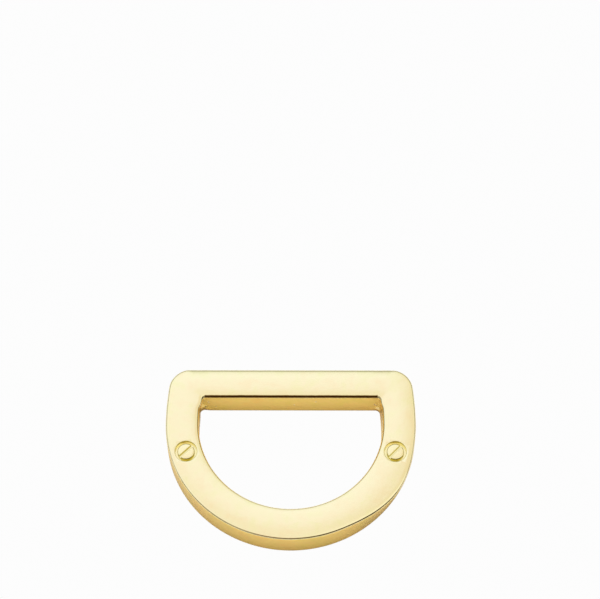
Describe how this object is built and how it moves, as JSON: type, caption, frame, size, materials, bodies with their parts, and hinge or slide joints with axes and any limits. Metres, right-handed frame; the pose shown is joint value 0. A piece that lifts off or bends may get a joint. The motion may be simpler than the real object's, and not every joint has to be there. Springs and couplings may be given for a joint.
{
  "type": "d ring",
  "caption": "D-shaped ring of square section with a straight strap bar, rounded corners and small slotted screws sunk into its front face.",
  "frame": {"origin": "middle of the D's outline, on the plane of its back face", "axes": "+X along the strap bar, +Y from the arc towards the strap bar, +Z from the back face to the front face with the screws"},
  "size_m": [0.0516, 0.038, 0.0066],
  "materials": {
    "polished_gold": "light gold plate on cast zinc alloy, mirror polished front face, satin walls",
    "screw_gold": "light gold plate on a turned screw, polished head"
  },
  "bodies": {
    "root": {"frame": "polished_gold", "screw_left": "screw_gold", "screw_right": "screw_gold"}
  },
  "joints": []
}
